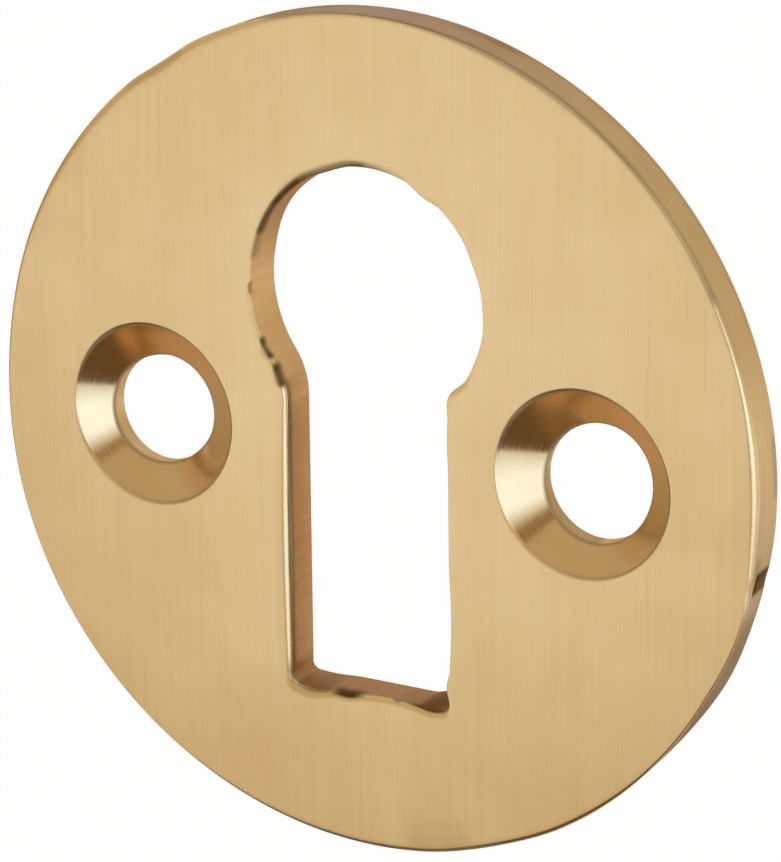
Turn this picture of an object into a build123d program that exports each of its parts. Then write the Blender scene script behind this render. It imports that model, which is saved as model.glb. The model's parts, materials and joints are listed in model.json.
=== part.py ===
"""Round keyhole escutcheon: a flat brass disc with a keyhole and two countersunk screw holes.

X runs to the right and Z up, as the plate is fixed on a door, and its face looks towards -Y.
The origin lies on the back face, midway between the two screw holes.
"""
import os

from build123d import *

# Disc, in millimetres
PLATE_DIAMETER = 32.0
PLATE_THICKNESS = 1.8
PLATE_CENTRE_RISE = 0.2  # disc centre above the line of the screws
FACE_EDGE_RADIUS = 0.35  # eased edge round the face
BACK_EDGE_RADIUS = 0.1  # broken edge round the back

# Keyhole, in millimetres, placed from the middle of the line of the screws
KEYHOLE_SHIFT = 0.2  # centre line of the keyhole, to the right
HEAD_DIAMETER = 9.85
HEAD_CENTRE_RISE = 5.7
SLOT_WIDTH = 6.95
SLOT_BOTTOM_DROP = 9.75
SHOULDER_RADIUS = 1.75  # rounding where the slot runs into the head
SLOT_CORNER_RADIUS = 0.55
KEYHOLE_EDGE_RADIUS = 0.1  # worn front edge of the keyhole

# Screw holes, in millimetres and degrees
SCREW_SPACING = 18.4
SCREW_HOLE_DIAMETER = 4.2
SINK_DIAMETER = 7.1
SINK_ANGLE = 90.0

# The sketches lie on the back face, and what is drawn there grows forwards to the face
BACK_PLANE = Plane.XZ
FACE_PLANE = BACK_PLANE.offset(PLATE_THICKNESS)


def plate_blank():
    """Round disc with an eased edge round its face."""
    with BuildPart() as blank:
        with BuildSketch(BACK_PLANE):
            with Locations((0, PLATE_CENTRE_RISE)):
                Circle(PLATE_DIAMETER / 2)
        extrude(amount=PLATE_THICKNESS)
        faces = blank.faces().sort_by(Axis.Y)
        fillet(faces[0].edges(), FACE_EDGE_RADIUS)
        fillet(faces[-1].edges(), BACK_EDGE_RADIUS)
    return blank.part


def keyhole_outline():
    """Round head over a straight slot, with eased shoulders and lower corners."""
    with BuildSketch() as outline:
        with Locations((KEYHOLE_SHIFT, HEAD_CENTRE_RISE)):
            Circle(HEAD_DIAMETER / 2)
            slot_length = HEAD_CENTRE_RISE + SLOT_BOTTOM_DROP
            Rectangle(SLOT_WIDTH, slot_length, align=(Align.CENTER, Align.MAX))
        shoulders = outline.vertices().group_by(Axis.Y)[1]
        fillet(shoulders, SHOULDER_RADIUS)
        lower_corners = outline.vertices().group_by(Axis.Y)[0]
        fillet(lower_corners, SLOT_CORNER_RADIUS)
    return outline.sketch


def escutcheon_plate():
    """The disc with its keyhole cut through and its screw holes countersunk."""
    with BuildPart() as plate:
        add(plate_blank())
        extrude(BACK_PLANE * keyhole_outline(), amount=PLATE_THICKNESS, mode=Mode.SUBTRACT)
        face = plate.faces().sort_by(Axis.Y)[0]
        fillet(face.inner_wires()[0].edges(), KEYHOLE_EDGE_RADIUS)
        with Locations(FACE_PLANE):
            with GridLocations(SCREW_SPACING, 0, 2, 1):
                CounterSinkHole(
                    radius=SCREW_HOLE_DIAMETER / 2,
                    counter_sink_radius=SINK_DIAMETER / 2,
                    depth=PLATE_THICKNESS,
                    counter_sink_angle=SINK_ANGLE,
                )
    return plate.part


os.makedirs("parts", exist_ok=True)
export_step(escutcheon_plate(), "parts/escutcheon_plate.step")
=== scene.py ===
import json
import math

import bmesh
import bpy
from mathutils import Matrix, Vector
from mathutils.geometry import delaunay_2d_cdt
from mathutils.kdtree import KDTree


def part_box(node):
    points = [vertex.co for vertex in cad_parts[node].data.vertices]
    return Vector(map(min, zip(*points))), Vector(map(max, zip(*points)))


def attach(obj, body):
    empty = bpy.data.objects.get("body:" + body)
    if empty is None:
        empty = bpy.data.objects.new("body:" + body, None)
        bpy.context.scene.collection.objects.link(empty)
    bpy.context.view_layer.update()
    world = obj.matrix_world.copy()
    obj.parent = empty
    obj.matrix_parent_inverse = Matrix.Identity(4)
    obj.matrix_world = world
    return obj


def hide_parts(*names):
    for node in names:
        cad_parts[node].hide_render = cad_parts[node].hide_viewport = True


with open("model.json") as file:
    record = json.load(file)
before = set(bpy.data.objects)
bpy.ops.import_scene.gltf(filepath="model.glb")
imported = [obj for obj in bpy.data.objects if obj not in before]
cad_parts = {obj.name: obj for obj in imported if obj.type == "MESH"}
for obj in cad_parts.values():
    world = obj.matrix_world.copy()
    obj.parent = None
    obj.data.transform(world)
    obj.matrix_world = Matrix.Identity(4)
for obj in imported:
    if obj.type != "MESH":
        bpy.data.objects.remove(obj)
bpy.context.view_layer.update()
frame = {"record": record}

MM = 0.001

# The plate's own sizes, read from the frame, in metres
PLATE = "escutcheon_plate"
PLATE_LOW, PLATE_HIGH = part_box(PLATE)
RADIUS = (PLATE_HIGH.z - PLATE_LOW.z) / 2
THICKNESS = PLATE_HIGH.y - PLATE_LOW.y
FACE_Y = PLATE_LOW.y
CENTRE_Z = (PLATE_HIGH.z + PLATE_LOW.z) / 2
SCREWS = next(mount for mount in frame["record"]["mounts"] if mount["name"] == "screw_holes")
SCREW_HALF_SPACING = SCREWS["dims"]["spacing_x_mm"] * MM / 2
BORE_RADIUS = SCREWS["dims"]["hole_r_mm"] * MM

# Keyhole, a little uneven against the solid: its left shoulder is rounder than its right one
KEY_X = 0.17 * MM
HEAD_Z = 5.72 * MM
HEAD_RADIUS = 4.895 * MM
SLOT_HALF_WIDTH = 3.445 * MM
SLOT_BOTTOM_Z = -9.75 * MM
SLOT_CORNER_RADIUS = 0.3 * MM
LEFT_SHOULDER_RADIUS = 3.0 * MM
RIGHT_SHOULDER_RADIUS = 1.2 * MM

# Screw holes as drilled: side, then how far the cone, the bore and the bore's radius are off, in mm
SINK_RADIUS = 3.555 * MM
SCREW_HOLES = [
    (-1, (0.02, 0.0), (-0.37, -0.23), -0.02),
    (1, (-0.08, 0.0), (-0.07, -0.33), 0.08),
]

# Edges of the face: width and steepest angle of the buffed roll, then radius of the corner below it, which
# the countersinks lack
RIM_EDGE = (0.2 * MM, math.radians(5), 0.2 * MM)
KEYHOLE_EDGE = (0.3 * MM, math.radians(22), 0.06 * MM)
SINK_EDGE = (0.1 * MM, math.radians(30))

# Rounding of the edges at the back
RIM_BACK_RADIUS = 0.04 * MM
KEYHOLE_BACK_RADIUS = 0.06 * MM
BORE_BACK_RADIUS = 0.05 * MM

# Places where an edge is worn more or less than elsewhere, in mm: place, reach, and the share by which
# its roll and its corner grow or shrink
RIM_WEAR = [
    (-13.0, 9.5, 18.0, 1.0, 1.0),
    (11.0, 11.8, 9.0, 0.0, -0.7),
    (0.0, 16.2, 9.0, -0.6, -0.8),
    (16.0, 0.6, 4.5, 0.2, 0.7),
    (14.2, -7.0, 9.0, -0.3, -0.6),
]
KEYHOLE_WEAR = [
    (-3.3, -1.5, 5.5, 0.4, 4.0),
    (-3.3, -6.5, 5.5, 0.4, 4.0),
    (-4.7, 6.2, 2.6, 0.0, -0.7),
    (-4.4, 3.9, 2.2, 0.0, -0.7),
    (-1.0, 10.4, 5.0, 0.6, 0.3),
]
LEAST_WEAR = 0.15  # share of an edge's usual roll and corner that is always left

# Uneven spots of the keyhole's wall, in mm: place, reach, and shift into the metal at the face and the back
KEYHOLE_SPOTS = [
    # round the head
    (3.9, 2.5, 0.9, -0.18, -0.18),
    (3.6, 0.8, 1.5, -0.04, -0.04),
    (5.05, 4.9, 1.2, 0.045, 0.045),
    (4.75, 7.6, 1.0, -0.05, -0.05),
    (2.7, 10.0, 0.9, -0.14, -0.14),
    (-1.5, 10.3, 1.2, -0.08, -0.08),
    (-3.9, 8.5, 2.0, 0.0, 0.1),
    # nicks in the left edge
    (-4.72, 5.45, 0.4, 0.06, 0.0),
    (-4.1, 3.3, 0.45, 0.1, 0.0),
    (-3.4, 2.34, 0.5, 0.12, 0.0),
    # left side of the slot
    (-3.28, -4.0, 7.5, 0.08, 0.0),
    # right side of the slot
    (3.67, -6.2, 2.6, 0.09, 0.09),
    (3.67, -8.8, 0.7, -0.12, -0.12),
    # foot of the slot, with a lip right of its middle
    (-2.3, -9.75, 1.2, 0.2, 0.06),
    (-0.8, -9.75, 0.8, 0.1, 0.0),
    (0.9, -9.75, 1.4, -0.09, 0.0),
    (2.9, -9.75, 0.8, 0.13, -0.16),
]

# Nicks and flats of the rim, in the same form
RIM_SPOTS = [
    (-8.5, 13.6, 1.8, 0.14, 0.0),
    (-15.9, 1.0, 6.0, 0.06, 0.06),
    (5.5, -14.8, 3.0, 0.06, 0.06),
    (12.3, -10.1, 4.5, 0.0, 0.12),
    (15.3, -4.4, 3.5, -0.15, 0.06),
    (15.7, -3.0, 0.6, 0.04, 0.03),
]

# Lines of grime and painted shade, in mm: start, end, reach, depths at which it starts and ends, and amount
GRIME_AND_SHADE_LINES = [
    # top left of the keyhole's head: painted shade on the wall just below the face's edge
    ((-4.6, 6.9), (-4.25, 7.8), 0.5, 0.03, 0.7, 0.4),
    ((-4.25, 7.8), (-3.58, 8.87), 0.6, 0.03, 0.8, 0.9),
    ((-3.58, 8.87), (-2.64, 9.73), 0.6, 0.03, 0.9, 1.0),
    ((-2.64, 9.73), (0.0, 10.6), 0.6, 0.03, 1.0, 0.9),
    # nicks in the keyhole's left edge, with painted shade in them that also hides the edge's highlight
    ((-4.7, 5.6), (-4.7, 5.4), 0.2, 0.03, 0.3, 0.8),
    ((-4.26, 3.55), (-3.92, 3.0), 0.22, 0.02, 0.4, 1.0),
    ((-3.68, 2.6), (-3.45, 2.0), 0.28, 0.02, 0.55, 1.0),
    # left edge of the slot: a painted dark reflection just below the edge's highlight, and painted shade
    # fading towards the back
    ((-3.3, 1.9), (-3.3, -9.2), 0.4, 0.23, 0.7, 0.9),
    ((-3.3, 1.9), (-3.3, -9.2), 0.4, 0.23, 1.5, 0.22),
    # foot of the slot
    ((-3.1, -9.4), (-1.9, -9.9), 0.8, 0.06, 2.4, 0.45),
    ((-2.4, -9.9), (-1.7, -9.9), 0.9, 0.06, 0.5, 0.55),
    ((-1.0, -9.9), (-0.6, -9.85), 0.8, 0.03, 0.7, 1.0),
    ((-2.4, -9.8), (2.6, -9.8), 0.5, 0.1, 6.0, 0.12),
    ((1.35, -9.7), (1.45, -9.7), 0.2, 0.03, 0.3, 0.6),
    ((1.6, -9.75), (2.6, -9.8), 0.8, 0.06, 3.0, 0.25),
    ((2.4, -9.8), (3.0, -9.85), 0.9, 0.05, 0.5, 0.9),
    ((2.6, -9.8), (3.6, -9.2), 0.8, 0.06, 3.0, 0.7),
    # lower left of the right bore: painted shade deep in the hole
    ((6.95, -0.3), (7.05, -1.0), 0.35, 1.3, 6.0, 0.3),
    ((7.05, -1.0), (7.6, -1.9), 0.35, 1.2, 6.0, 0.3),
    ((7.6, -1.9), (9.1, -2.5), 0.35, 1.1, 6.0, 0.3),
    # nick and foot of the rim
    ((-9.9, 12.7), (-7.7, 14.1), 0.35, 0.02, 0.4, 0.25),
    ((-6.8, -14.3), (-2.8, -15.5), 0.6, 0.02, 0.8, 0.7),
    ((-2.8, -15.5), (1.4, -15.75), 0.6, 0.02, 0.8, 1.0),
    ((1.4, -15.75), (5.5, -14.85), 0.6, 0.02, 0.8, 0.7),
    ((2.2, -15.1), (4.2, -14.8), 0.7, -0.1, 0.3, 0.15),
    # front edge of the rim, upper right and top: a painted dark reflection along the edge
    ((15.1, 5.5), (14.1, 7.6), 0.45, 0.004, 0.4, 0.15),
    ((14.1, 7.6), (10.3, 12.4), 0.7, 0.004, 0.4, 0.5),
    ((10.3, 12.4), (6.7, 14.7), 0.6, 0.004, 0.4, 0.5),
    ((6.7, 14.7), (2.8, 15.95), 0.6, 0.004, 0.4, 0.5),
    ((2.8, 15.95), (-3.5, 15.9), 0.8, 0.004, 0.4, 0.45),
    # a dark spot in the right of the rim, and painted shade on the rim below it
    ((15.86, -2.0), (15.78, -2.5), 0.3, 0.35, 1.1, 0.5),
    ((15.75, -2.6), (15.65, -3.2), 0.3, 0.6, 5.0, 1.0),
    ((12.5, -9.9), (15.3, -4.8), 1.0, 0.3, 6.0, 0.35),
    ((13.6, -8.0), (15.3, -4.4), 0.6, 0.02, 0.8, 0.35),
    # back edge of the rim
    ((15.95, 0.4), (15.8, 2.2), 0.4, 1.4, 6.0, 0.3),
    ((14.6, 6.7), (11.3, 11.5), 0.9, 1.5, 6.0, 0.2),
    ((11.3, 11.5), (5.5, 15.2), 0.9, 1.5, 6.0, 0.2),
    ((5.5, 15.2), (-4.0, 15.7), 0.9, 1.3, 6.0, 0.3),
]
GRIME_AND_SHADE_RISE = 0.03  # depth in mm over which a line comes to its full amount

# Painted shade in the line under each countersink's mouth, darkest at the top: direction and reach in
# degrees, and amount, then the depths between which it lies
MOUTH_SHADE = [
    (105, 75, 0.9),
    (0, 80, 0.65),
    (280, 65, 0.35),
]
MOUTH_TOP = 0.015 * MM
MOUTH_FOOT = 0.1 * MM
# painted shade where each countersink's cone meets its bore
CONE_FOOT_SHADE = 0.5  # amount where each countersink's cone meets its bore

# Mesh resolution
RIM_POINTS = 720
SINK_POINTS = 240
OUTLINE_STEP = 0.07 * MM
EDGE_STEPS = 8
WALL_RINGS = 12
BORE_RINGS = 3
FACE_GRID = 0.6 * MM
ROW_HEIGHT = math.sqrt(0.75)  # of a row of the grid's equal triangles, as a share of their side
GRID_CLEARANCE = FACE_GRID * 0.6  # least way from an edge to a point of the grid
SUPPORT = 0.06 * MM  # flat strip between an edge and the grid
MERGE_DISTANCE = 1e-9
SHARP_ANGLE = math.radians(40)

# Camera that took the picture, worked out from the plate's outline
CAMERA_AIM = Vector((1.26 * MM, FACE_Y, 0.67 * MM + CENTRE_Z))
CAMERA_DISTANCE = 149.2 * MM
CAMERA_AZIMUTH = math.radians(30.31)
CAMERA_ELEVATION = math.radians(17.39)
CAMERA_ROLL = math.radians(-0.6)
CAMERA_LENS = 170.3  # focal length in mm
CAMERA_CLIP = 1 * MM

# Material slots of the plate
FACE, WALL, SINK, BORE, RIM, BACK = range(6)

# Marks in the metals: marks per metre, and the shares by which they shift a tone
RINGS_PER_METRE = 14000
BRUSHED_CLOUDS = 260
TURNED_CLOUDS = 500
BROAD_STREAKS = 5  # width of the broad brush marks, in fine ones
STREAK_SHARE = 0.05
CLOUD_SHARE = 0.15
NOISE_LOW, NOISE_HIGH = 0.3, 0.7  # between which most values of a noise lie
# colour that grime and painted shade give the metal
GRIME_AND_SHADE_COLOUR = (0.085, 0.04, 0.013)

# Sockets of a mix node that take and give colours
MIX_FIRST, MIX_SECOND, MIX_RESULT = 6, 7, 2

# Floor, and the room's tones with the way back over which one turns into the other
FLOOR_Z = -0.3
FLOOR_SIZE = 9.0
FLOOR_COLOUR = (0.9, 0.9, 0.9, 1)
FLOOR_GLOW = 0.98
ROOM_FRONT = (0.68, 0.59, 0.41)
ROOM_BEHIND = (0.77, 0.72, 0.65)
ROOM_TURN = (-0.1, 0.4)

# Key lamp, in metres
KEY_LIGHT = {
    "centre": (0.24, -0.144, -0.008),
    "width": 0.215,
    "height": 0.348,
    "radiance": 2.1,
    "colour": (0.371, 0.59, 1.0),
}
FOOT_SHARE = 0.4  # share of its light at its foot
FOOT_FADE = 0.36  # share of its height at which it comes to its full light
TOP_FADE = 0.75  # share of its height at which it begins to fade out
# glow of the card behind the lamp, a painted reflection added to the lamp's own
LAMP_BACK_GLOW = (0.74, 0.71, 0.56)  # colour of the card behind it
LAMP_BACK_GAP = 0.03  # how far that card lies behind it, as a share of the lamp's distance

# Glowing studio cards round the plate, no lamps, which the brass shows as painted reflections, in metres:
# centre, facing, width, height and colour
UP = (0, 0, 1)
DOWN = (0, 0, -1)
TO_PLATE = None  # the card is turned to the plate
GLOWING_CARDS = {
    # dark glowing sheet on the floor in front of the plate: painted shade in the brass's reflection, where
    # the floor lies in the plate's shade
    "floor_shade_card": ((0.055, -0.155, -0.29), UP, 0.61, 0.41, (0.175, 0.113, 0.052)),
    "low_card": ((0.3, -0.52, -0.285), UP, 0.35, 0.3, (0.95, 0.72, 0.42)),
    "side_card": ((0.33, 0.13, -0.29), UP, 0.25, 0.24, (0.6, 0.5, 0.35)),
    "back_low_card": ((-0.33, 0.33, -0.285), UP, 0.54, 0.6, (0.57, 0.355, 0.165)),
    "rim_card": ((0.12, 0.45, -0.285), UP, 0.36, 0.4, (0.75, 0.68, 0.58)),
    "back_card": ((-0.53, 0.31, -0.087), TO_PLATE, 0.8, 0.36, (0.50, 0.365, 0.175)),
    "camera_card": ((0.179, -0.402, -0.094), TO_PLATE, 0.125, 0.14, (0.38, 0.31, 0.25)),
    "front_card": ((-0.129, -0.355, 0.245), TO_PLATE, 0.46, 0.19, (0.95, 1.0, 1.1)),
    "flag_card": ((0.174, -0.136, 0.173), TO_PLATE, 0.12, 0.06, (0.38, 0.27, 0.13)),
    "top_card": ((0.17, 0.1, 0.28), DOWN, 0.5, 0.3, (1.15, 1.4, 2.1)),
}


def arc(centre, radius, start, end, step, into_centre):
    """Points of an arc with their directions into the metal, without the last point."""
    count = max(3, round(abs(end - start) * radius / step))
    points = []
    for index in range(count):
        angle = start + (end - start) * index / count
        direction = Vector((math.cos(angle), math.sin(angle)))
        points.append((centre + direction * radius, -direction if into_centre else direction))
    return points


def run(start, end, step, inward):
    """Points of a straight run with their direction into the metal, without the last point."""
    count = max(2, round((end - start).length / step))
    return [(start.lerp(end, index / count), inward) for index in range(count)]


def shoulder(side, radius):
    """Centre of a shoulder's rounding, and the angle at which it leaves the head."""
    across = SLOT_HALF_WIDTH + radius
    drop = math.sqrt((HEAD_RADIUS + radius) ** 2 - across ** 2)
    return Vector((KEY_X + side * across, HEAD_Z - drop)), math.atan2(drop, across)


def keyhole_outline():
    """The keyhole anticlockwise from its right shoulder: points and directions into the metal."""
    left_centre, left_lean = shoulder(-1, LEFT_SHOULDER_RADIUS)
    right_centre, right_lean = shoulder(1, RIGHT_SHOULDER_RADIUS)
    left = KEY_X - SLOT_HALF_WIDTH
    right = KEY_X + SLOT_HALF_WIDTH
    inner_left = left + SLOT_CORNER_RADIUS
    inner_right = right - SLOT_CORNER_RADIUS
    corner_z = SLOT_BOTTOM_Z + SLOT_CORNER_RADIUS
    step = OUTLINE_STEP
    quarter = math.pi / 2
    outline = arc(Vector((KEY_X, HEAD_Z)), HEAD_RADIUS, -right_lean, math.pi + left_lean, step, False)
    outline += arc(left_centre, LEFT_SHOULDER_RADIUS, left_lean, 0, step, True)
    outline += run(Vector((left, left_centre.y)), Vector((left, corner_z)), step, Vector((-1, 0)))
    outline += arc(Vector((inner_left, corner_z)), SLOT_CORNER_RADIUS, 2 * quarter, 3 * quarter, step, False)
    foot = [Vector((x, SLOT_BOTTOM_Z)) for x in (inner_left, inner_right)]
    outline += run(*foot, step, Vector((0, -1)))
    outline += arc(Vector((inner_right, corner_z)), SLOT_CORNER_RADIUS, -quarter, 0, step, False)
    outline += run(Vector((right, corner_z)), Vector((right, right_centre.y)), step, Vector((1, 0)))
    outline += arc(right_centre, RIGHT_SHOULDER_RADIUS, math.pi, math.pi - right_lean, step, True)
    return outline


def rim_outline():
    """The plate's rim: points and directions into the metal."""
    step = 2 * math.pi * RADIUS / RIM_POINTS
    return arc(Vector((0, CENTRE_Z)), RADIUS, 0, 2 * math.pi, step, True)


def near(away, reach):
    """How near a place is to a mark at a distance: 1 on it, 0 out of its reach."""
    share = away / reach
    return (1 - share * share) ** 2 if share < 1 else 0


def shift_at(point, depth, spots):
    """How far the uneven spots move a wall into the metal at a point and depth."""
    rise = (1 - depth / THICKNESS) ** 2
    shift = 0
    for x, z, reach, face, back in spots:
        away = (point - Vector((x, z)) * MM).length
        shift += near(away, reach * MM) * (back + (face - back) * rise) * MM
    return shift


def wear_at(point, spots):
    """How much of an edge's usual roll and corner is worn at a point."""
    roll_share, corner_share = 1, 1
    for x, z, reach, more_roll, more_corner in spots:
        share = near((point - Vector((x, z)) * MM).length, reach * MM)
        roll_share += share * more_roll
        corner_share += share * more_corner
    return max(roll_share, LEAST_WEAR), max(corner_share, LEAST_WEAR)


def roll(width, angle):
    """The buffed roll towards an edge: distances out from the corner and depths."""
    shares = [index / EDGE_STEPS for index in range(EDGE_STEPS + 1)]
    return [(width * (1 - share), math.tan(angle) * width * share * share / 2) for share in shares]


def corner(radius, start=0.0):
    """A rounded corner from a sloping face to the wall: distances in from the wall and depths."""
    turns = [start + (math.pi / 2 - start) * index / EDGE_STEPS for index in range(EDGE_STEPS + 1)]
    return [(radius * (1 - math.sin(turn)), radius * (math.cos(start) - math.cos(turn))) for turn in turns]


def place(point, depth):
    """A point of the plate at a depth below its face, in the frame."""
    return Vector((point.x, FACE_Y + depth, point.y))


def add_ring(mesh, points, depths):
    """A ring of vertices at given points and depths."""
    return [mesh.verts.new(place(point, depth)) for point, depth in zip(points, depths)]


def bridge(mesh, rings, material):
    """Faces between each ring and the next."""
    for upper, lower in zip(rings, rings[1:]):
        for index in range(len(upper)):
            after = (index + 1) % len(upper)
            face = mesh.faces.new((upper[index], upper[after], lower[after], lower[index]))
            face.material_index = material


def eased_edge(width, angle, radius, wear):
    """The roll and the rounded corner of a worn edge: distances in from the wall and depths."""
    roll_share, corner_share = wear
    turned = corner(radius * corner_share, angle)
    rolled = [(inset + turned[0][0], depth) for inset, depth in roll(width * roll_share, angle)]
    drop = rolled[-1][1]
    lowered = [(inset, depth + drop) for inset, depth in turned[1:]]
    strip = [(rolled[0][0] + SUPPORT, 0)]
    return strip + rolled + lowered


def wall(mesh, outline, face_edge, wear, back_radius, spots, material):
    """A wall right through the plate along an outline, and its first and last rings."""
    edges = [eased_edge(*face_edge, wear_at(point, wear)) for point, _ in outline]
    bottom = THICKNESS - back_radius
    rings = []

    def ring(insets, depths):
        shifts = [shift_at(point, depth, spots) for (point, _), depth in zip(outline, depths)]
        points = [point + inward * (inset + shift)
                  for (point, inward), inset, shift in zip(outline, insets, shifts)]
        rings.append(add_ring(mesh, points, depths))

    for step in zip(*edges):
        ring(*zip(*step))
    face_rings = len(rings)
    tops = [edge[-1][1] for edge in edges]
    for index in range(1, WALL_RINGS + 1):
        ring([0] * len(outline), [top + (bottom - top) * index / WALL_RINGS for top in tops])
    for inset, depth in reversed(corner(back_radius)[:-1]):
        ring([inset] * len(outline), [THICKNESS - depth] * len(outline))
    ring([back_radius + SUPPORT] * len(outline), [THICKNESS] * len(outline))
    bridge(mesh, rings[:face_rings], FACE)
    bridge(mesh, rings[face_rings - 1:], material)
    return rings[0], rings[-1]


def bore_reach(direction, offset, radius):
    """Distance from a cone's axis, in one direction, to the wall of its off-centre bore."""
    along = offset.dot(direction)
    return along + math.sqrt(radius ** 2 - offset.length_squared + along ** 2)


def countersink(mesh, side, sink_off, bore_off, radius_off):
    """A countersunk screw hole, and its first and last rings."""
    centre = Vector((side * SCREW_HALF_SPACING, 0)) + Vector(sink_off) * MM
    offset = (Vector(bore_off) - Vector(sink_off)) * MM
    bore_radius = BORE_RADIUS + radius_off * MM
    turns = [2 * math.pi * index / SINK_POINTS for index in range(SINK_POINTS)]
    directions = [Vector((math.cos(turn), math.sin(turn))) for turn in turns]
    bore = [bore_reach(direction, offset, bore_radius) for direction in directions]
    bottom = THICKNESS - BORE_BACK_RADIUS
    feet = [min(SINK_RADIUS - radius, bottom - SUPPORT) for radius in bore]
    rings = []

    def ring(radii, depths):
        points = [centre + direction * radius for direction, radius in zip(directions, radii)]
        rings.append(add_ring(mesh, points, depths))

    rolled = roll(*SINK_EDGE)
    mouth = SINK_RADIUS - rolled[-1][1]
    for out, depth in [(rolled[0][0] + SUPPORT, 0)] + rolled:
        ring([mouth + out] * SINK_POINTS, [depth] * SINK_POINTS)
    face_rings = len(rings)
    top = rolled[-1][1]
    for index in range(1, WALL_RINGS + 1):
        share = index / WALL_RINGS
        radii = [mouth + (radius - mouth) * share for radius in bore]
        ring(radii, [top + (foot - top) * share for foot in feet])
    # painted shade on the ring where the cone meets the bore
    grime_and_shade = mesh.verts.layers.float["grime_and_shade"]
    for vertex in rings[-1]:
        vertex[grime_and_shade] = CONE_FOOT_SHADE
    for index in range(1, BORE_RINGS + 1):
        ring(bore, [foot + (bottom - foot) * index / BORE_RINGS for foot in feet])
    for inset, depth in reversed(corner(BORE_BACK_RADIUS)[:-1]):
        ring([radius + inset for radius in bore], [THICKNESS - depth] * SINK_POINTS)
    ring([radius + BORE_BACK_RADIUS + SUPPORT for radius in bore], [THICKNESS] * SINK_POINTS)
    bridge(mesh, rings[:face_rings], FACE)
    bridge(mesh, rings[face_rings - 1:face_rings + WALL_RINGS], SINK)
    bridge(mesh, rings[face_rings + WALL_RINGS - 1:], BORE)
    return rings[0], rings[-1]


def grid_points(loops):
    """A staggered grid over the plate, clear of the given loops of vertices."""
    edge = [Vector((vertex.co.x, vertex.co.z, 0)) for loop in loops for vertex in loop]
    tree = KDTree(len(edge))
    for index, point in enumerate(edge):
        tree.insert(point, index)
    tree.balance()
    rows = int(RADIUS / FACE_GRID) + 1
    points = []
    for row in range(-rows, rows + 1):
        for column in range(-rows, rows + 1):
            x = (column + 0.5 * (row % 2)) * FACE_GRID
            z = CENTRE_Z + row * FACE_GRID * ROW_HEIGHT
            _, _, clearance = tree.find((x, z, 0))
            if clearance > GRID_CLEARANCE:
                points.append(Vector((x, z)))
    return points


def flat_face(mesh, rim, holes, material):
    """The flat metal between the rim's ring and the rings round the holes."""
    loops = [rim] + holes
    vertices = [vertex for loop in loops for vertex in loop]
    regions = []
    for loop in loops:
        first = sum(len(region) for region in regions)
        regions.append(list(range(first, first + len(loop))))
    coords = [Vector((vertex.co.x, vertex.co.z)) for vertex in vertices] + grid_points(loops)
    found, _, triangles, origins, _, owners = delaunay_2d_cdt(coords, [], regions, 0, MERGE_DISTANCE)
    depth = rim[0].co.y - FACE_Y
    corners = {}
    for index, sources in enumerate(origins):
        known = [source for source in sources if source < len(vertices)]
        if known:
            corners[index] = vertices[known[0]]
    for triangle, owner in zip(triangles, owners):
        # metal lies inside the rim's loop and in no other
        if list(owner) != [0]:
            continue
        for index in triangle:
            if index not in corners:
                corners[index] = mesh.verts.new(place(found[index], depth))
        face = mesh.faces.new([corners[index] for index in triangle])
        face.material_index = material


def grime_and_shade_at(point, depth):
    """How much grime and painted shade the lines leave at a point and depth."""
    most = 0
    for start, end, reach, top, deep, amount in GRIME_AND_SHADE_LINES:
        if not top * MM < depth < deep * MM:
            continue
        first = Vector(start) * MM
        along = (Vector(end) - Vector(start)) * MM
        share = min(max((point - first).dot(along) / along.length_squared, 0), 1)
        fade = min((depth / MM - top) / GRIME_AND_SHADE_RISE, 1) * (1 - (depth / (deep * MM)) ** 2)
        away = (point - first - along * share).length
        most = max(most, near(away, reach * MM) * fade * amount)
    return most


def mouth_shade_at(point, depth):
    """How much painted shade lies in the line under a countersink's mouth."""
    across = point.x - math.copysign(SCREW_HALF_SPACING, point.x)
    if math.hypot(across, point.y) > SINK_RADIUS + MOUTH_FOOT or not MOUTH_TOP < depth < MOUTH_FOOT:
        return 0
    direction = math.degrees(math.atan2(point.y, across))
    total = 0
    for middle, reach, amount in MOUTH_SHADE:
        turned = abs((direction - middle + 180) % 360 - 180)
        total += near(turned, reach) * amount
    return total


def soil_and_shade(mesh):
    """Writes how much grime and painted shade lie on each vertex, with none on the back."""
    layer = mesh.verts.layers.float["grime_and_shade"]
    for vertex in mesh.verts:
        point = Vector((vertex.co.x, vertex.co.z))
        depth = vertex.co.y - FACE_Y
        if depth < THICKNESS - SUPPORT / 2:
            vertex[layer] = max(vertex[layer], grime_and_shade_at(point, depth), mouth_shade_at(point, depth))


def plate_mesh(materials):
    """The whole plate as one closed mesh."""
    mesh = bmesh.new()
    mesh.verts.layers.float.new("grime_and_shade")
    walls = [
        wall(mesh, rim_outline(), RIM_EDGE, RIM_WEAR, RIM_BACK_RADIUS, RIM_SPOTS, RIM),
        wall(mesh, keyhole_outline(), KEYHOLE_EDGE, KEYHOLE_WEAR, KEYHOLE_BACK_RADIUS, KEYHOLE_SPOTS, WALL),
    ]
    walls += [countersink(mesh, *hole) for hole in SCREW_HOLES]
    for end, material in ((0, FACE), (1, BACK)):
        rim, *holes = [rings[end] for rings in walls]
        flat_face(mesh, rim, holes, material)
    soil_and_shade(mesh)
    bmesh.ops.recalc_face_normals(mesh, faces=mesh.faces)
    for face in mesh.faces:
        face.smooth = True
    data = bpy.data.meshes.new("plate")
    mesh.to_mesh(data)
    mesh.free()
    data.set_sharp_from_angle(angle=SHARP_ANGLE)
    for material in materials:
        data.materials.append(material)
    plate = bpy.data.objects.new("plate", data)
    bpy.context.scene.collection.objects.link(plate)
    return plate


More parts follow.
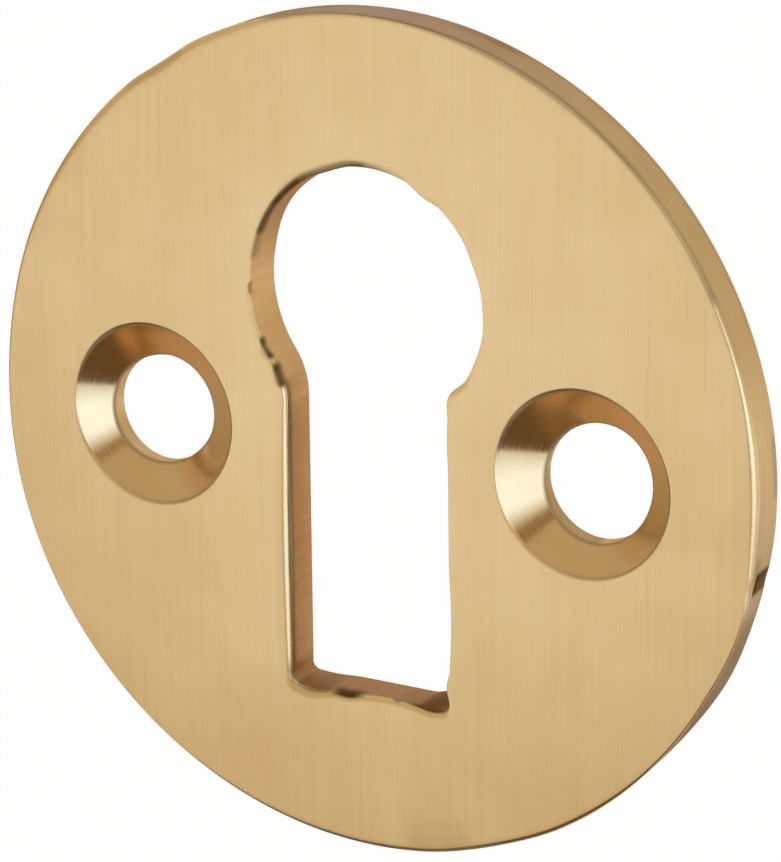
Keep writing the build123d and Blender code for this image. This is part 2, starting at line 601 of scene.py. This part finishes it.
def node(tree, kind, inputs=None, **settings):
    """A new node with its settings, its plain input values and its links."""
    made = tree.nodes.new(kind)
    for name, value in settings.items():
        setattr(made, name, value)
    for name, value in (inputs or {}).items():
        if isinstance(value, bpy.types.NodeSocket):
            tree.links.new(value, made.inputs[name])
        else:
            made.inputs[name].default_value = value
    return made


def combine(tree, first, second, operation="ADD"):
    """Two values combined by a sum, or by another operation."""
    return node(tree, "ShaderNodeMath", {0: first, 1: second}, operation=operation).outputs["Value"]


def grain(tree, source, scale, detail=2.0):
    """Noise stretched by a scale for each axis, in features per metre."""
    mapping = node(tree, "ShaderNodeMapping", {"Vector": source, "Scale": scale})
    inputs = {"Vector": mapping.outputs["Vector"], "Scale": 1.0, "Detail": detail}
    return node(tree, "ShaderNodeTexNoise", inputs).outputs["Fac"]


def spread(tree, source, low, high, start=NOISE_LOW, end=NOISE_HIGH):
    """A value between a start and an end, spread evenly from low to high."""
    inputs = {"Value": source, "From Min": start, "From Max": end, "To Min": low, "To Max": high}
    return node(tree, "ShaderNodeMapRange", inputs).outputs["Result"]


def blend(tree, share, first, second):
    """Two colours mixed by a share."""
    made = node(tree, "ShaderNodeMix", {0: share}, data_type="RGBA")
    for index, value in ((MIX_FIRST, first), (MIX_SECOND, second)):
        if isinstance(value, bpy.types.NodeSocket):
            tree.links.new(value, made.inputs[index])
        else:
            made.inputs[index].default_value = (*value, 1)
    return made.outputs[MIX_RESULT]


def new_metal(name):
    """An empty metal: its material, node tree and object coordinates."""
    material = bpy.data.materials.new(name)
    material.use_nodes = True
    tree = material.node_tree
    return material, tree, node(tree, "ShaderNodeTexCoord").outputs["Object"]


def finish_metal(tree, colour, roughness, height, relief):
    """Links colour, roughness and relief to the shader, with grime and painted shade over them."""
    shader = tree.nodes["Principled BSDF"]
    shader.inputs["Specular IOR Level"].default_value = 0
    grime_and_shade = node(tree, "ShaderNodeAttribute", attribute_name="grime_and_shade").outputs["Fac"]
    bump = node(tree, "ShaderNodeBump", {"Height": height, "Distance": relief, "Strength": 1.0})
    tree.links.new(blend(tree, grime_and_shade, colour, GRIME_AND_SHADE_COLOUR), shader.inputs["Base Color"])
    tree.links.new(combine(tree, 1.0, grime_and_shade, "SUBTRACT"), shader.inputs["Metallic"])
    tree.links.new(combine(tree, roughness, grime_and_shade, "MAXIMUM"), shader.inputs["Roughness"])
    tree.links.new(bump.outputs["Normal"], shader.inputs["Normal"])


def brushed_metal(name, light, dark, painted_light_centre, reach, streaks, roughness, relief):
    """Satin metal with fine brush marks and soft clouds, and painted shade that darkens it with the distance
    from a painted highlight.
    """
    material, tree, where = new_metal(name)
    fine = grain(tree, where, streaks)
    broad = grain(tree, where, [count / BROAD_STREAKS for count in streaks])
    clouds = grain(tree, where, [BRUSHED_CLOUDS] * 3)
    # painted shade: darker with the distance from the painted highlight
    away = node(tree, "ShaderNodeVectorMath", {0: where, 1: painted_light_centre}, operation="DISTANCE").outputs["Value"]
    fade = combine(tree, combine(tree, away, reach, "DIVIDE"), 2.0, "POWER")
    streaky = spread(tree, broad, -STREAK_SHARE, STREAK_SHARE)
    cloudy = spread(tree, clouds, -CLOUD_SHARE, CLOUD_SHARE)
    uneven = combine(tree, streaky, cloudy)
    colour = blend(tree, combine(tree, fade, uneven), light, dark)
    finish_metal(tree, colour, spread(tree, fine, *roughness), combine(tree, fine, broad), relief)
    return material


def turned_metal(name, light, dark, roughness, relief):
    """Metal cut by a countersink, with fine rings round each screw hole."""
    material, tree, where = new_metal(name)
    split = node(tree, "ShaderNodeSeparateXYZ", {"Vector": where})
    side = node(tree, "ShaderNodeMath", {0: split.outputs["X"]}, operation="ABSOLUTE")
    across = combine(tree, side.outputs["Value"], SCREW_HALF_SPACING, "SUBTRACT")
    flat = node(tree, "ShaderNodeCombineXYZ", {"X": across, "Y": split.outputs["Z"]})
    away = node(tree, "ShaderNodeVectorMath", {0: flat.outputs["Vector"]}, operation="LENGTH")
    count = combine(tree, away.outputs["Value"], RINGS_PER_METRE, "MULTIPLY")
    rings = node(tree, "ShaderNodeTexNoise", {"W": count, "Scale": 1.0}, noise_dimensions="1D").outputs["Fac"]
    clouds = grain(tree, where, [TURNED_CLOUDS] * 3)
    colour = blend(tree, spread(tree, clouds, 0, 1), light, dark)
    finish_metal(tree, colour, spread(tree, rings, *roughness), rings, relief)
    return material


def brass_face():
    """The face: finely brushed up and down, with a painted highlight above its middle and painted shade away
    from it.
    """
    return brushed_metal(
        "brass_face",
        light=(0.791, 0.585, 0.312),
        dark=(0.631, 0.428, 0.189),
        painted_light_centre=(1.4 * MM, FACE_Y, 7 * MM),
        reach=22.5 * MM,
        streaks=(12000, 12000, 150),
        roughness=(0.26, 0.32),
        relief=4e-7,
    )


def brass_wall():
    """The keyhole's wall: rougher and redder, with painted light at the left shoulder and painted shade away
    from it.
    """
    return brushed_metal(
        "brass_wall",
        light=(0.68, 0.43, 0.165),
        dark=(0.47, 0.235, 0.08),
        painted_light_centre=(-4.6 * MM, FACE_Y, 4.2 * MM),
        reach=4 * MM,
        streaks=(4000, 300, 4000),
        roughness=(0.35, 0.5),
        relief=6e-6,
    )


def brass_sink():
    """The countersinks' cones: turned and bright."""
    return turned_metal(
        "brass_sink",
        light=(0.69, 0.49, 0.265),
        dark=(0.65, 0.45, 0.235),
        roughness=(0.13, 0.2),
        relief=1e-6,
    )


def brass_bore():
    """The screw holes' bores: drilled and dull."""
    return turned_metal(
        "brass_bore",
        light=(0.68, 0.45, 0.2),
        dark=(0.6, 0.38, 0.155),
        roughness=(0.3, 0.4),
        relief=2e-6,
    )


def brass_rim():
    """The rim's wall: marked along its round, with painted light at the upper right and painted shade away
    from it.
    """
    return brushed_metal(
        "brass_rim",
        light=(0.635, 0.428, 0.177),
        dark=(0.33, 0.157, 0.042),
        painted_light_centre=(14.5 * MM, FACE_Y, 7 * MM),
        reach=15.5 * MM,
        streaks=(150, 9000, 150),
        roughness=(0.26, 0.36),
        relief=1.2e-6,
    )


def brass_back():
    """The back: brushed like the face, but coarser and duller."""
    return brushed_metal(
        "brass_back",
        light=(0.66, 0.49, 0.25),
        dark=(0.56, 0.40, 0.19),
        # painted light round the same place as on the face, fading over a longer reach
        painted_light_centre=(1.4 * MM, FACE_Y, 7 * MM),
        reach=30 * MM,
        streaks=(7000, 7000, 200),
        roughness=(0.34, 0.46),
        relief=2e-6,
    )


def place_camera():
    """The camera at the place, angle and lens of the picture."""
    data = bpy.data.cameras.new("camera")
    data.lens = CAMERA_LENS
    data.clip_start = CAMERA_CLIP
    camera = bpy.data.objects.new("camera", data)
    bpy.context.scene.collection.objects.link(camera)
    turn = Matrix.Rotation(CAMERA_AZIMUTH, 4, "Z")
    turn = turn @ Matrix.Rotation(math.pi / 2 - CAMERA_ELEVATION, 4, "X")
    turn = turn @ Matrix.Rotation(CAMERA_ROLL, 4, "Z")
    back = turn @ Vector((0, 0, CAMERA_DISTANCE))
    camera.matrix_world = Matrix.Translation(CAMERA_AIM + back) @ turn
    bpy.context.scene.camera = camera


def sheet(name, centre, facing, width, height, material):
    """A flat stage sheet that looks the given way."""
    data = bpy.data.meshes.new(name)
    x, y = width / 2, height / 2
    data.from_pydata([(-x, -y, 0), (x, -y, 0), (x, y, 0), (-x, y, 0)], [], [(0, 1, 2, 3)])
    data.materials.append(material)
    made = bpy.data.objects.new(name, data)
    bpy.context.scene.collection.objects.link(made)
    made.matrix_world = Matrix.Translation(centre) @ facing.to_track_quat("Z", "Y").to_matrix().to_4x4()
    return made


def glowing_card(name, centre, facing, width, height, colour):
    """A glowing studio card, no lamp, that gives the brass a painted reflection, out of the camera's sight
    and casting no shadow.
    """
    material = bpy.data.materials.new(name)
    material.use_nodes = True
    tree = material.node_tree
    glow = node(tree, "ShaderNodeEmission", {"Color": (*colour, 1), "Strength": 1.0})
    tree.links.new(glow.outputs["Emission"], tree.nodes["Material Output"].inputs["Surface"])
    made = sheet(name, Vector(centre), Vector(facing), width, height, material)
    made.visible_camera = False
    made.visible_shadow = False
    made.visible_diffuse = False


def glowing_cards():
    """All the glowing cards round the plate."""
    for name, (centre, facing, width, height, colour) in GLOWING_CARDS.items():
        glowing_card(name, centre, facing or -Vector(centre), width, height, colour)


def soft_light(name, centre, width, height, radiance, colour):
    """A rectangular soft lamp that fades towards its foot and its top, before a warm glowing backing card
    that adds to its reflection.
    """
    data = bpy.data.lights.new(name, "AREA")
    data.shape = "RECTANGLE"
    data.size = width
    data.size_y = height
    data.energy = radiance * math.pi * width * height
    data.color = colour
    data.use_nodes = True
    tree = data.node_tree
    across = node(tree, "ShaderNodeNewGeometry").outputs["Parametric"]
    up = node(tree, "ShaderNodeSeparateXYZ", {"Vector": across}).outputs["Y"]
    foot = spread(tree, up, FOOT_SHARE, 1, 0, FOOT_FADE)
    fade = combine(tree, foot, spread(tree, up, 1, 0, TOP_FADE, 1), "MULTIPLY")
    tree.links.new(fade, tree.nodes["Emission"].inputs["Strength"])
    lamp = bpy.data.objects.new(name, data)
    bpy.context.scene.collection.objects.link(lamp)
    aim = Vector((0, 0, CENTRE_Z)) - Vector(centre)
    lamp.matrix_world = Matrix.Translation(centre) @ aim.to_track_quat("-Z", "Y").to_matrix().to_4x4()
    glowing_card(name + "_back", Vector(centre) - aim * LAMP_BACK_GAP, aim, width, height, LAMP_BACK_GLOW)


def pale_floor():
    """White floor well below the plate, white to the camera and in the metal."""
    material = bpy.data.materials.new("floor")
    material.use_nodes = True
    tree = material.node_tree
    shader = tree.nodes["Principled BSDF"]
    shader.inputs["Base Color"].default_value = FLOOR_COLOUR
    shader.inputs["Roughness"].default_value = 1
    path = node(tree, "ShaderNodeLightPath").outputs
    seen = combine(tree, path["Is Camera Ray"], path["Is Glossy Ray"], "MAXIMUM")
    seen = combine(tree, seen, path["Is Transmission Ray"], "MAXIMUM")
    share = combine(tree, seen, FLOOR_GLOW, "MULTIPLY")
    glow = node(tree, "ShaderNodeEmission", {"Color": (1, 1, 1, 1), "Strength": 1.0})
    layers = {0: share, 1: shader.outputs["BSDF"], 2: glow.outputs["Emission"]}
    mix = node(tree, "ShaderNodeMixShader", layers)
    tree.links.new(mix.outputs["Shader"], tree.nodes["Material Output"].inputs["Surface"])
    sheet("floor", Vector((0, 0, FLOOR_Z)), Vector(UP), FLOOR_SIZE, FLOOR_SIZE, material)


def surroundings():
    """A plain room, warmer in front of the plate than behind it."""
    world = bpy.data.worlds.new("surroundings")
    bpy.context.scene.world = world
    world.use_nodes = True
    tree = world.node_tree
    where = node(tree, "ShaderNodeTexCoord").outputs["Generated"]
    behind = node(tree, "ShaderNodeSeparateXYZ", {"Vector": where}).outputs["Y"]
    share = spread(tree, behind, 0, 1, *ROOM_TURN)
    tree.links.new(blend(tree, share, ROOM_FRONT, ROOM_BEHIND), tree.nodes["Background"].inputs["Color"])


# The plate, with its materials in the order of their slots
materials = [brass_face(), brass_wall(), brass_sink(), brass_bore(), brass_rim(), brass_back()]
plate = plate_mesh(materials)
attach(plate, "root")
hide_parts(PLATE)

# Camera, room and light
place_camera()
pale_floor()
surroundings()
soft_light("key_light", **KEY_LIGHT)
glowing_cards()
bpy.context.scene.view_settings.view_transform = "Standard"
